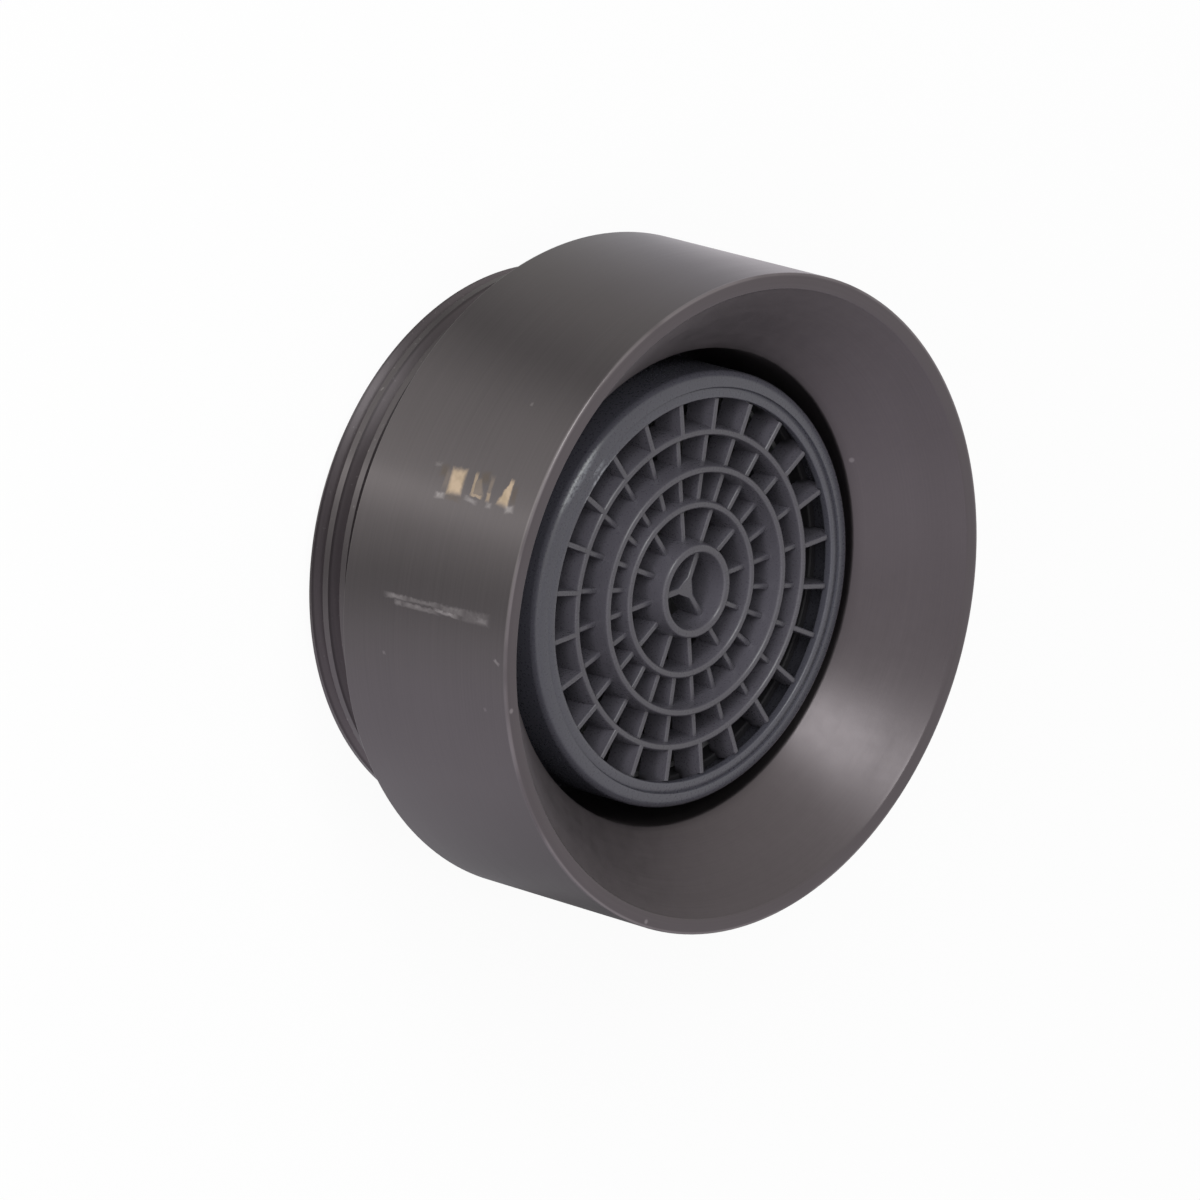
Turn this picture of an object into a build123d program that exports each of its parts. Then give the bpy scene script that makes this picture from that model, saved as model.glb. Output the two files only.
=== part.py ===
from build123d import *
import os

# Tap aerator: a turned brass housing with a male thread at its inlet and a flared mouth at its outlet.
# A moulded insert inside it splits the water into jets, draws in air and mixes the two.
# Sizes are in millimetres. The part stands on its sealing washer with the outlet up:
# z = 0 is the washer's free face, and +Z runs along the axis towards the outlet.

# Housing: the thread sets the bores inside it, one wall or step after the other
thread_diameter = 24.0
thread_length = 4.45
thread_lead_in = 0.35
relief_depth = 0.65
relief_length = 0.8
thread_wall = 0.5
seat_width = 0.7
body_diameter = 28.0
body_length = 9.55
rim_width = 0.65
mouth_depth = 3.63

# Sealing washer
washer_thickness = 2.0
washer_width = 2.5
washer_proud = 0.3
washer_clearance = 0.05

# Insert sleeve: the air gap round it sets its outside, and its wall and lip set its openings
insert_recess = 2.94
air_gap = 0.85
flange_thickness = 1.6
flange_clearance = 0.1
sleeve_taper = 0.1
sleeve_taper_length = 1.4
sleeve_front_wall = 0.45
sleeve_front_chamfer = 0.25
lip_width = 0.58
lip_thickness = 0.36
jet_ledge = 0.35
window_count = 3
window_width = 8.0
window_height = 1.8
window_rise = 0.4

# Clearance between the moulded pieces of the insert
fit_clearance = 0.05

# Jet plate
jet_plate_thickness = 1.4
jet_width = 0.8
outer_jet_circle = 11.2
outer_jet_length = 1.4
outer_jet_count = 12
inner_jet_circle = 6.8
inner_jet_length = 1.2
inner_jet_count = 6

# Strainer: a flat rim and a slotted hat
strainer_rim_thickness = 0.5
strainer_dish_wall = 0.4
strainer_wall = 0.45
hat_clearance = 0.4
hat_taper = 1.2
hat_rise = 1.55
slot_width = 0.7
outer_slot_circle = 9.6
outer_slot_length = 2.6
outer_slot_count = 12
inner_slot_circle = 4.2
inner_slot_length = 1.4
inner_slot_count = 6

# Mixing grid
mixing_grid_height = 1.0
mixing_rim_width = 0.5
mixing_bar_width = 0.3
mixing_ring_diameter = 9.0
mixing_inner_rib_count = 3
mixing_outer_rib_count = 9
mixing_leg_count = 3
mixing_leg_width = 4.0
mixing_leg_start = 60.0

# Outlet grid: four rings of two heights, the lower ribs between them, a low rim and a three-cornered hub
grid_depth = 2.25
grid_rim_height = 0.8
grid_rim_wall = 0.3
grid_rim_chamfer = 0.25
grid_web_depth = 1.7
hub_ring_diameter = 3.64
hub_ring_width = 0.42
inner_ring_diameter = 7.24
middle_ring_diameter = 10.36
outer_ring_diameter = 13.42
ring_width = 0.35
tall_ring_rise = 0.13
low_ring_drop = 0.17
rib_width = 0.24
rib_drop = 0.48
hub_rib_count = 3
hub_rib_width = 0.3
hub_rib_start = 60.0
hub_core_radius = 0.7
inner_rib_count = 12
outer_rib_count = 24

# Radii, from the thread inwards
body_radius = body_diameter / 2
rim_inner_radius = body_radius - rim_width
thread_radius = thread_diameter / 2
relief_radius = thread_radius - relief_depth
seat_bore_radius = relief_radius - thread_wall
throat_radius = seat_bore_radius - seat_width
washer_radius = seat_bore_radius - washer_clearance
washer_bore_radius = washer_radius - washer_width
flange_radius = seat_bore_radius - flange_clearance
sleeve_radius = throat_radius - air_gap
sleeve_front_radius = sleeve_radius - sleeve_taper
bore_radius = sleeve_front_radius - sleeve_front_wall
lip_radius = bore_radius - lip_width
jet_seat_radius = bore_radius + jet_ledge
jet_plate_radius = jet_seat_radius - fit_clearance
strainer_dish_radius = jet_plate_radius - strainer_dish_wall
strainer_radius = strainer_dish_radius - fit_clearance
hat_base_radius = washer_bore_radius - hat_clearance
hat_top_radius = hat_base_radius - hat_taper
grid_radius = bore_radius - fit_clearance

# Levels along the axis, from the washer's free face up to the rim
thread_end_z = washer_proud
shoulder_z = thread_end_z + thread_length
rim_z = shoulder_z + body_length
throat_z = rim_z - mouth_depth
flange_z = washer_thickness
seat_z = flange_z + flange_thickness
jet_seat_z = flange_z + jet_plate_thickness
insert_front_z = rim_z - insert_recess
lip_z = insert_front_z - lip_thickness
outlet_grid_z = insert_front_z - grid_depth
mixing_grid_z = outlet_grid_z - mixing_grid_height
hat_top_z = flange_z - hat_rise

os.makedirs("parts", exist_ok=True)


def circles_at(part, radius, tolerance=0.001):
    """Finds the part's circular edges of one radius, lowest first."""
    circles = part.edges().filter_by(GeomType.CIRCLE)
    return circles.filter_by(lambda edge: abs(edge.radius - radius) < tolerance).sort_by(Axis.Z)


def ring(radius, width):
    """Sketches one ring of a grid on its centre line."""
    Circle(radius + width / 2)
    Circle(radius - width / 2, mode=Mode.SUBTRACT)


def ribs(from_radius, to_radius, count, width, start=0.0):
    """Sketches the ribs that join two rings of a grid, from one centre line to the other."""
    with PolarLocations((from_radius + to_radius) / 2, count, start_angle=start):
        Rectangle(to_radius - from_radius, width)


# Housing: one section turned about the axis, then the thread's lead-in
with BuildPart() as housing:
    with BuildSketch(Plane.XZ):
        Polygon(
            (seat_bore_radius, thread_end_z),
            (thread_radius, thread_end_z),
            (thread_radius, shoulder_z - relief_length),
            (relief_radius, shoulder_z - relief_length),
            (relief_radius, shoulder_z),
            (body_radius, shoulder_z),
            (body_radius, rim_z),
            (rim_inner_radius, rim_z),
            (throat_radius, throat_z),
            (throat_radius, seat_z),
            (seat_bore_radius, seat_z),
            align=None,
        )
    revolve(axis=Axis.Z)
    chamfer(circles_at(housing.part, thread_radius)[0], length=thread_lead_in)
housing.part.label = "housing"
export_step(housing.part, "parts/housing.step")


# Sealing washer: fills the threaded end below the insert and stands a little proud of it
with BuildPart() as seal_washer:
    with BuildSketch(Plane.XY):
        Circle(washer_radius)
        Circle(washer_bore_radius, mode=Mode.SUBTRACT)
    extrude(amount=washer_thickness)
seal_washer.part.label = "seal_washer"
export_step(seal_washer.part, "parts/seal_washer.step")


# Strainer: its rim lies in the jet plate's dish under the washer, its hat stays inside the washer's bore
with BuildPart() as strainer:
    with BuildSketch(Plane.XZ):
        Polygon(
            (0, hat_top_z),
            (hat_top_radius, hat_top_z),
            (hat_base_radius, flange_z),
            (strainer_radius, flange_z),
            (strainer_radius, flange_z + strainer_rim_thickness),
            (hat_base_radius - strainer_wall, flange_z + strainer_rim_thickness),
            (hat_top_radius - strainer_wall, hat_top_z + strainer_wall),
            (0, hat_top_z + strainer_wall),
            align=None,
        )
    revolve(axis=Axis.Z)
    with BuildSketch(Plane.XY.offset(hat_top_z)):
        with PolarLocations(outer_slot_circle / 2, outer_slot_count):
            Rectangle(outer_slot_length, slot_width)
        with PolarLocations(inner_slot_circle / 2, inner_slot_count):
            Rectangle(inner_slot_length, slot_width)
    extrude(amount=strainer_wall, mode=Mode.SUBTRACT)
strainer.part.label = "strainer"
export_step(strainer.part, "parts/strainer.step")


# Jet plate: a disc in the sleeve's inlet end, dished for the strainer, with two circles of jets
with BuildPart() as jet_plate:
    with BuildSketch(Plane.XY.offset(flange_z)):
        Circle(jet_plate_radius)
    extrude(amount=jet_plate_thickness)
    with BuildSketch(Plane.XY.offset(flange_z)):
        Circle(strainer_dish_radius)
    extrude(amount=strainer_rim_thickness, mode=Mode.SUBTRACT)
    with BuildSketch(Plane.XY.offset(flange_z)):
        with PolarLocations(outer_jet_circle / 2, outer_jet_count):
            Rectangle(outer_jet_length, jet_width)
        with PolarLocations(inner_jet_circle / 2, inner_jet_count):
            Rectangle(inner_jet_length, jet_width)
    extrude(amount=jet_plate_thickness, mode=Mode.SUBTRACT)
jet_plate.part.label = "jet_plate"
export_step(jet_plate.part, "parts/jet_plate.step")


# Insert sleeve: a flange on the housing's seat, the jet seat, one bore for the grids and the front lip
with BuildPart() as insert_sleeve:
    with BuildSketch(Plane.XZ):
        Polygon(
            (jet_seat_radius, flange_z),
            (flange_radius, flange_z),
            (flange_radius, seat_z),
            (sleeve_radius, seat_z),
            (sleeve_radius, insert_front_z - sleeve_taper_length),
            (sleeve_front_radius, insert_front_z),
            (lip_radius, insert_front_z),
            (lip_radius, lip_z),
            (bore_radius, lip_z),
            (bore_radius, jet_seat_z),
            (jet_seat_radius, jet_seat_z),
            align=None,
        )
    revolve(axis=Axis.Z)
    chamfer(circles_at(insert_sleeve.part, sleeve_front_radius), length=sleeve_front_chamfer)
    with BuildSketch(Plane.XY.offset(seat_z + window_rise)):
        with PolarLocations(flange_radius / 2, window_count):
            Rectangle(flange_radius, window_width)
    extrude(amount=window_height, mode=Mode.SUBTRACT)
insert_sleeve.part.label = "insert_sleeve"
export_step(insert_sleeve.part, "parts/insert_sleeve.step")


# Mixing grid: its legs stand on the jet plate between the air windows, and its rim carries the outlet grid
mixing_rim_radius = grid_radius - mixing_rim_width / 2
mixing_ring_radius = mixing_ring_diameter / 2
with BuildPart() as mixing_grid:
    with BuildSketch(Plane.XY.offset(mixing_grid_z)):
        ring(mixing_rim_radius, mixing_rim_width)
        ribs(mixing_ring_radius, mixing_rim_radius, mixing_outer_rib_count, mixing_bar_width)
    extrude(amount=mixing_grid_height)
    with BuildSketch(Plane.XY.offset(mixing_grid_z)):
        ring(mixing_ring_radius, mixing_bar_width)
        ribs(0, mixing_ring_radius, mixing_inner_rib_count, mixing_bar_width)
    extrude(amount=mixing_grid_height)
    with BuildSketch(Plane.XY.offset(jet_seat_z)):
        ribs(0, grid_radius, mixing_leg_count, mixing_leg_width, mixing_leg_start)
        Circle(grid_radius, mode=Mode.INTERSECT)
        Circle(grid_radius - mixing_rim_width, mode=Mode.SUBTRACT)
    extrude(amount=mixing_grid_z - jet_seat_z)
mixing_grid.part.label = "mixing_grid"
export_step(mixing_grid.part, "parts/mixing_grid.step")


# Outlet grid: its low rim stands on the mixing grid, and its outer ribs end under the sleeve's lip
web_z = insert_front_z - grid_web_depth
rib_height = grid_web_depth - rib_drop
tall_ring_height = grid_web_depth + tall_ring_rise
low_ring_height = grid_web_depth - low_ring_drop
hub_radius = hub_ring_diameter / 2
inner_radius = inner_ring_diameter / 2
middle_radius = middle_ring_diameter / 2
outer_radius = outer_ring_diameter / 2
outer_rib_radius = lip_radius - fit_clearance
grid_rim_radius = grid_radius - grid_rim_wall / 2
grid_rings = (
    (hub_radius, hub_ring_width, tall_ring_height),
    (inner_radius, ring_width, low_ring_height),
    (middle_radius, ring_width, tall_ring_height),
    (outer_radius, ring_width, low_ring_height),
)
with BuildPart() as outlet_grid:
    with BuildSketch(Plane.XY.offset(outlet_grid_z)):
        ring(grid_rim_radius, grid_rim_wall)
    extrude(amount=grid_rim_height)
    chamfer(circles_at(outlet_grid.part, grid_radius - grid_rim_wall)[-1], length=grid_rim_chamfer)
    with BuildSketch(Plane.XY.offset(web_z)):
        RegularPolygon(hub_core_radius, hub_rib_count, rotation=hub_rib_start)
        ribs(0, hub_radius, hub_rib_count, hub_rib_width, hub_rib_start)
        ribs(hub_radius, inner_radius, inner_rib_count, rib_width)
        ribs(inner_radius, middle_radius, outer_rib_count, rib_width)
        ribs(middle_radius, outer_radius, outer_rib_count, rib_width)
    extrude(amount=rib_height)
    with BuildSketch(Plane.XY.offset(web_z)):
        ribs(outer_radius, outer_rib_radius, outer_rib_count, rib_width)
    extrude(amount=low_ring_height)
    with BuildSketch(Plane.XY.offset(web_z)):
        ribs(outer_radius, grid_rim_radius, outer_rib_count, rib_width)
    extrude(amount=lip_z - web_z)
    for radius, width, height in grid_rings:
        with BuildSketch(Plane.XY.offset(web_z)):
            ring(radius, width)
        extrude(amount=height)
outlet_grid.part.label = "outlet_grid"
export_step(outlet_grid.part, "parts/outlet_grid.step")
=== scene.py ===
"""Tap aerator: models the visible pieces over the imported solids, finishes them, then lights and frames them.

Pieces are drawn in millimetres in the part's own frame: the axis is Z, the washer's free face is z = 0
and the outlet faces up. They are brought to metres at the end.
"""

from __future__ import annotations

import logging
import math
from dataclasses import dataclass
from enum import Enum
from functools import reduce
from operator import or_
from typing import Any, Callable, Optional, Union

import bmesh
import bpy
from mathutils import Matrix, Vector

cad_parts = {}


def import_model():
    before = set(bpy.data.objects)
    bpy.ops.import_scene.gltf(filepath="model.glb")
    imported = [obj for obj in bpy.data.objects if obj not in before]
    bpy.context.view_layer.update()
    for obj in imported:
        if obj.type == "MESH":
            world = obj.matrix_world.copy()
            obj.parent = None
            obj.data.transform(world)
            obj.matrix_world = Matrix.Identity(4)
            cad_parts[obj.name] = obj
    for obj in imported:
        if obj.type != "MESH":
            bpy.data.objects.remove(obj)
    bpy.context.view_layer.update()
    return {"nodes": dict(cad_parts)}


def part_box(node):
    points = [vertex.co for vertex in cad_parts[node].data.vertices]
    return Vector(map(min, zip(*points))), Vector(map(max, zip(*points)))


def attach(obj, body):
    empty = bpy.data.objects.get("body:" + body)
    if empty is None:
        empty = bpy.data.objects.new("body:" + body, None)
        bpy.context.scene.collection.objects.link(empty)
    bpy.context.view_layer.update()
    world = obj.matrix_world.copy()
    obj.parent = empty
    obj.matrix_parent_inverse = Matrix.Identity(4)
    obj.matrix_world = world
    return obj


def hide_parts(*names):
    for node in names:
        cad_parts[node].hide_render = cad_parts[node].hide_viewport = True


LOG = logging.getLogger("tap_aerator")

# One millimetre in metres, then the distances in millimetres within which points are merged or found
MM = 0.001
WELD = 0.0005
NEAR = 0.004
SMOOTH_ANGLE = math.radians(38.0)
CENTRE = (0.0, 0.0, 0.0)
WHITE = (1.0, 1.0, 1.0)
BODY = "root"

Colour = tuple[float, float, float]
Corner = tuple[float, float]
Material = bpy.types.Material


class Cut(Enum):
    """How one solid is combined with another."""

    TAKE_AWAY = "DIFFERENCE"
    JOIN = "UNION"


@dataclass(frozen=True)
class Span:
    """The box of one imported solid, in millimetres."""

    radius: float
    low: float
    high: float

    @classmethod
    def of(cls, node: str) -> Span:
        """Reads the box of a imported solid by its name."""
        low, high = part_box(node)
        return cls(radius=high.x / MM, low=low.z / MM, high=high.z / MM)


def around(angle: float, radius: float = 1.0, height: float = 0.0) -> Vector:
    """Finds the point at an angle in degrees, a distance from the axis and a height."""
    turn = math.radians(angle)
    return Vector((radius * math.cos(turn), radius * math.sin(turn), height))


class Work:
    """One mesh in hand, modelled in millimetres."""

    def __init__(self, name: str) -> None:
        """Adds a cube of size 1 and opens it in edit mode.

        Args:
            name: the new piece's name.
        """
        Work.clear()
        bpy.ops.mesh.primitive_cube_add(size=1.0)
        self.piece = bpy.context.object
        self.piece.name = name
        self.piece.data.name = name
        self.edit()

    @staticmethod
    def clear() -> None:
        """Leaves edit mode and deselects everything."""
        if bpy.context.object is not None and bpy.context.object.mode != "OBJECT":
            bpy.ops.object.mode_set(mode="OBJECT")
        bpy.ops.object.select_all(action="DESELECT")

    def take(self) -> None:
        """Makes the piece the only selected and active one, in object mode."""
        Work.clear()
        self.piece.select_set(True)
        bpy.context.view_layer.objects.active = self.piece

    def edit(self) -> None:
        """Opens the piece in edit mode with everything selected."""
        self.take()
        bpy.ops.object.mode_set(mode="EDIT")
        bpy.ops.mesh.select_all(action="SELECT")

    @staticmethod
    def weld() -> None:
        """Merges the points that meet and selects everything, in edit mode."""
        bpy.ops.mesh.select_all(action="SELECT")
        bpy.ops.mesh.remove_doubles(threshold=WELD)
        bpy.ops.mesh.select_all(action="SELECT")

    @classmethod
    def draw(cls, name: str, corners: list[Corner]) -> Work:
        """Draws a section beside the axis: one vertex, extruded from corner to corner.

        Args:
            name: the new piece's name.
            corners: the corners as (radius, height); a section that starts on the axis stays open.

        Returns:
            The piece, left in edit mode with everything selected.
        """
        work = cls(name)
        bpy.ops.mesh.merge(type="CENTER")
        radius, height = corners[0]
        bpy.ops.transform.translate(value=(radius, 0.0, height))
        for next_radius, next_height in corners[1:] + corners[:1] * (radius > 0.0):
            step = (next_radius - radius, 0.0, next_height - height)
            bpy.ops.mesh.extrude_region_move(TRANSFORM_OT_translate={"value": step})
            radius, height = next_radius, next_height
        work.weld()
        return work

    @classmethod
    def turn(cls, name: str, corners: list[Corner], steps: int) -> Work:
        """Draws a section and spins it once round the axis.

        Args:
            name: the new piece's name.
            corners: the corners as (radius, height).
            steps: the faces round the axis.

        Returns:
            The turned piece, left in edit mode with everything selected.
        """
        work = cls.draw(name, corners)
        bpy.ops.mesh.spin(steps=steps, angle=math.tau, center=CENTRE, axis=(0.0, 0.0, 1.0))
        work.weld()
        bpy.ops.mesh.normals_make_consistent(inside=False)
        return work

    @classmethod
    def block(cls, name: str, reach: Corner, width: float, levels: Corner) -> Work:
        """Adds a block that lies across +X.

        Args:
            name: the new piece's name.
            reach: where it starts and ends along X.
            width: its width along Y.
            levels: its lowest and highest level.

        Returns:
            The block, left in edit mode with everything selected.
        """
        work = cls(name)
        low = Vector((reach[0], -width / 2, levels[0]))
        high = Vector((reach[1], width / 2, levels[1]))
        bpy.ops.transform.resize(value=high - low)
        bpy.ops.transform.translate(value=(low + high) / 2)
        return work

    def round_edges(self, test: Callable[[Vector, Vector], bool], width: float, segments: int = 3) -> None:
        """Rounds some edges, in edit mode.

        Args:
            test: tells from an edge's two ends whether it is rounded.
            width: how far the round reaches on both sides.
            segments: the faces across the round.
        """
        bpy.ops.mesh.select_mode(type="EDGE")
        mesh = bmesh.from_edit_mesh(self.piece.data)
        for edge in mesh.edges:
            edge.select_set(test(edge.verts[0].co, edge.verts[1].co))
        bmesh.update_edit_mesh(self.piece.data)
        bpy.ops.mesh.bevel(offset=width, segments=segments, profile=0.5, affect="EDGES", clamp_overlap=False)
        bpy.ops.mesh.select_mode(type="VERT")

    def round_circle(self, radius: float, height: float, width: float, segments: int = 3) -> None:
        """Rounds one circular edge, in edit mode.

        Args:
            radius: the circle's radius.
            height: its level.
            width: how far the round reaches on both sides.
            segments: the faces across the round.
        """
        circle = (radius, height)
        self.round_edges(
            lambda *ends: all(math.dist((end.xy.length, end.z), circle) < NEAR for end in ends),
            width,
            segments,
        )

    @staticmethod
    def copy_round(count: int, start: float = 0.0) -> None:
        """Turns what is selected to its first place and copies it evenly round the axis, in edit mode.

        Args:
            count: how many there are in the end.
            start: the first one's angle, in degrees.
        """
        if start:
            bpy.ops.transform.rotate(value=-math.radians(start), orient_axis="Z", center_override=CENTRE)
        for _ in range(count - 1):
            bpy.ops.mesh.duplicate()
            bpy.ops.transform.rotate(value=-math.tau / count, orient_axis="Z", center_override=CENTRE)

    def gather(self, others: list[Work]) -> None:
        """Takes in the shells of other pieces.

        Args:
            others: those pieces, which are gone afterwards.
        """
        self.take()
        for other in others:
            other.piece.select_set(True)
        bpy.ops.object.join()

    def modify(self, kind: str, **settings: Any) -> None:
        """Adds one modifier and applies it.

        Args:
            kind: the modifier's type.
            settings: its properties by name.
        """
        self.take()
        bpy.ops.object.modifier_add(type=kind)
        modifier = self.piece.modifiers[-1]
        for key, setting in settings.items():
            setattr(modifier, key, setting)
        bpy.ops.object.modifier_apply(modifier=modifier.name)

    def combine(self, tool: Work, cut: Cut) -> None:
        """Cuts a tool out of the piece, or joins it on, and removes the tool."""
        self.modify("BOOLEAN", operation=cut.value, solver="EXACT", object=tool.piece)
        bpy.data.objects.remove(tool.piece)

    def finish(self, node: str, slot: str, finish: Material) -> None:
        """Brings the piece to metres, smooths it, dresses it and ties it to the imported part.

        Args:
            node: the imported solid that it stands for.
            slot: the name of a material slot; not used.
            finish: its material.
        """
        self.edit()
        self.weld()
        bpy.ops.transform.resize(value=(MM, MM, MM), center_override=CENTRE)
        self.take()
        bpy.ops.object.shade_smooth_by_angle(angle=SMOOTH_ANGLE)
        self.modify("WEIGHTED_NORMAL", keep_sharp=True)
        piece = self.piece
        piece.data.materials.clear()
        piece.data.materials.append(finish)
        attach(piece, BODY)
        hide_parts(node)
        LOG.info("%s: %d faces", piece.name, len(piece.data.polygons))


Input = Union["Value", float, int, Colour]


class Value:
    """One output of a material's node, whose arithmetic adds Math nodes."""

    def __init__(self, shader: Shader, socket: bpy.types.NodeSocket) -> None:
        """Wraps an output socket of a shader."""
        self.shader = shader
        self.socket = socket

    def __add__(self, other: Input) -> Value:
        """Adds a value."""
        return self.shader.math("ADD", self, other)

    def __radd__(self, other: Input) -> Value:
        """Is added to a number."""
        return self.shader.math("ADD", other, self)

    def __sub__(self, other: Input) -> Value:
        """Takes a value away."""
        return self.shader.math("SUBTRACT", self, other)

    def __rsub__(self, other: Input) -> Value:
        """Is taken away from a number."""
        return self.shader.math("SUBTRACT", other, self)

    def __mul__(self, other: Input) -> Value:
        """Multiplies by a value."""
        return self.shader.math("MULTIPLY", self, other)

    def __truediv__(self, other: Input) -> Value:
        """Divides by a value."""
        return self.shader.math("DIVIDE", self, other)

    def __or__(self, other: Input) -> Value:
        """Takes the larger of two masks."""
        return self.shader.math("MAXIMUM", self, other)

    def size(self) -> Value:
        """Takes the value without its sign."""
        return self.shader.math("ABSOLUTE", self)

    def above(self, limit: Input, soft: float) -> Value:
        """Makes a mask that is 1 above a limit, with a soft side of some width."""
        inputs = {"Value": self - limit, "From Min": -soft / 2, "From Max": soft / 2}
        return self.shader.node("ShaderNodeMapRange", {"interpolation_type": "SMOOTHSTEP"}, inputs)

    def between(self, low: Input, high: Input, soft: float) -> Value:
        """Makes a mask that is 1 between two limits, with soft sides."""
        return self.above(low, soft) * (1.0 - self.above(high, soft))


class Shader:
    """The nodes of one material, on the piece's own coordinates in millimetres."""

    def __init__(self, owner: Union[Material, bpy.types.World]) -> None:
        """Starts with no nodes.

        Args:
            owner: the material or world that the nodes belong to.
        """
        self.owner = owner
        self.owner.use_nodes = True
        self.tree = owner.node_tree
        self.tree.nodes.clear()

    def node(
        self,
        kind: str,
        settings: Optional[dict[str, Any]] = None,
        inputs: Optional[dict[Union[str, int], Input]] = None,
        output: Union[str, int] = 0,
    ) -> Value:
        """Adds one node.

        Args:
            kind: the node's type.
            settings: its properties, set before its sockets; "stops" holds a ramp's stops.
            inputs: a number, colour or Value for each named or numbered socket.
            output: the socket that is returned.

        Returns:
            That output.
        """
        made = self.tree.nodes.new(kind)
        for key, setting in (settings or {}).items():
            if key == "stops":
                ramp = made.color_ramp
                for index, (place, shade) in enumerate(setting):
                    stop = ramp.elements[index] if index < 2 else ramp.elements.new(place)
                    stop.position = place
                    stop.color = (*shade, 1.0) if isinstance(shade, tuple) else (shade, shade, shade, 1.0)
            else:
                setattr(made, key, setting)
        for key, given in (inputs or {}).items():
            socket = made.inputs[key]
            if isinstance(given, Value):
                self.tree.links.new(given.socket, socket)
            elif isinstance(given, tuple) and socket.type == "RGBA":
                socket.default_value = (*given, 1.0)
            else:
                socket.default_value = given
        return Value(self, made.outputs[output])

    def math(self, operation: str, first: Input, second: Input = 0.0) -> Value:
        """Adds one Math node on one or two values."""
        return self.node("ShaderNodeMath", {"operation": operation}, {0: first, 1: second})

    def place(self) -> tuple[Value, ...]:
        """Reads the piece's own coordinates: x, y and z in millimetres."""
        coords = self.node("ShaderNodeTexCoord", output="Object")
        return tuple(part / MM for part in self.split(coords))

    def from_axis(self, x: Value, y: Value) -> Value:
        """Takes the distance from the axis."""
        return self.math("SQRT", x * x + y * y)

    def vector(self, x: Input, y: Input, z: Input) -> Value:
        """Combines three values into a vector."""
        return self.node("ShaderNodeCombineXYZ", inputs={0: x, 1: y, 2: z})

    def split(self, vector: Value) -> tuple[Value, ...]:
        """Takes a vector apart into its three values."""
        parts = self.node("ShaderNodeSeparateXYZ", inputs={0: vector}).socket.node.outputs
        return tuple(Value(self, part) for part in parts)

    def local(self, where: Value, middle: Vector, turn: float, size: Vector) -> Value:
        """Moves coordinates to a mark's own: from its middle, along its turn, in halves of its size."""
        inputs = {"Vector": where, "Location": middle, "Rotation": (0.0, 0.0, turn), "Scale": size / 2}
        return self.node("ShaderNodeMapping", {"vector_type": "TEXTURE"}, inputs)

    def noise(self, where: Value, scale: float, detail: float = 2.0) -> Value:
        """Adds an even noise round 0.5, of some fineness and number of octaves."""
        inputs = {"Vector": where, "Scale": scale, "Detail": detail, "Roughness": 0.55}
        return self.node("ShaderNodeTexNoise", inputs=inputs)

    def scale(self, colour: Colour, tone: Value) -> Value:
        """Makes a colour lighter or darker."""
        return self.node("ShaderNodeVectorMath", {"operation": "SCALE"}, {0: colour, "Scale": tone})

    def mix(self, factor: Input, one: Input, two: Input) -> Value:
        """Mixes two colours by a factor."""
        inputs = {0: factor, 6: one, 7: two}
        return self.node("ShaderNodeMix", {"data_type": "RGBA"}, inputs, output=2)

    def bump(self, height: Value, strength: float, depth: float) -> Value:
        """Turns a height, of which 1 stands for a depth in millimetres, into a normal."""
        inputs = {"Strength": strength, "Distance": depth * MM, "Height": height}
        return self.node("ShaderNodeBump", inputs=inputs)

    def surface(self, **inputs: Input) -> Material:
        """Ends the material in one Principled shader, whose sockets have underscores for spaces here."""
        sockets = {key.replace("_", " "): value for key, value in inputs.items()}
        return self.end(self.node("ShaderNodeBsdfPrincipled", {"distribution": "GGX"}, sockets))

    def end(self, shader: Value) -> Union[Material, bpy.types.World]:
        """Links a shader to the output.

        Args:
            shader: the shader.

        Returns:
            The finished material or world.
        """
        kind = "World" if isinstance(self.owner, bpy.types.World) else "Material"
        output = self.tree.nodes.new(f"ShaderNodeOutput{kind}")
        self.tree.links.new(shader.socket, output.inputs["Surface"])
        return self.owner


@dataclass(frozen=True)
class Stroke:
    """One straight mark on the body, from one end to the other.

    Ends are given as the way round the body from the jaw marks and the way down from the rim.
    """

    start: Corner
    end: Corner
    width: float
    strength: float = 1.0
    soft: float = 0.7
    taper: float = 0.0

    def mask(self, shader: Shader, place: Value) -> Value:
        """Makes the mark's mask.

        Args:
            shader: the material that it belongs to.
            place: the way round the body and the way down from the rim.

        Returns:
            Its strength inside the mark, with soft sides and ends.
        """
        start = Vector((*self.start, 0.0))
        end = Vector((*self.end, 0.0))
        run = end - start
        size = Vector((run.length, self.width, 2.0))
        local = shader.local(place, (start + end) / 2, math.atan2(run.y, run.x), size)
        along, across, _ = shader.split(local)
        if self.taper:
            across = across / (1.0 + along * self.taper)
        return (1.0 - (along.size() | across.size()).above(1.0, self.soft)) * self.strength


@dataclass(frozen=True)
class PaleSpot:
    """One pale spot, such as a scuff, a nick or a painted highlight: its middle, its length round the axis and
    its width.
    """

    angle: float
    radius: float
    height: float
    length: float
    width: float
    strength: float = 1.0
    soft: float = 0.9

    def mask(self, shader: Shader, spot: Value) -> Value:
        """Makes the spot's mask.

        Args:
            shader: the material that it belongs to.
            spot: the piece's own coordinates.

        Returns:
            Its strength inside the spot, with soft sides and ends.
        """
        middle = around(self.angle, self.radius, self.height)
        size = Vector((self.width, self.length, self.width))
        local = shader.local(spot, middle, math.radians(self.angle), size)
        reach = shader.node("ShaderNodeVectorMath", {"operation": "LENGTH"}, {0: local}, "Value")
        return (1.0 - reach.above(1.0, self.soft)) * self.strength


def joined(marks: tuple[Union[Stroke, PaleSpot], ...], shader: Shader, place: Value) -> Value:
    """Joins the masks of several marks into one."""
    return reduce(or_, [mark.mask(shader, place) for mark in marks])


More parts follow.
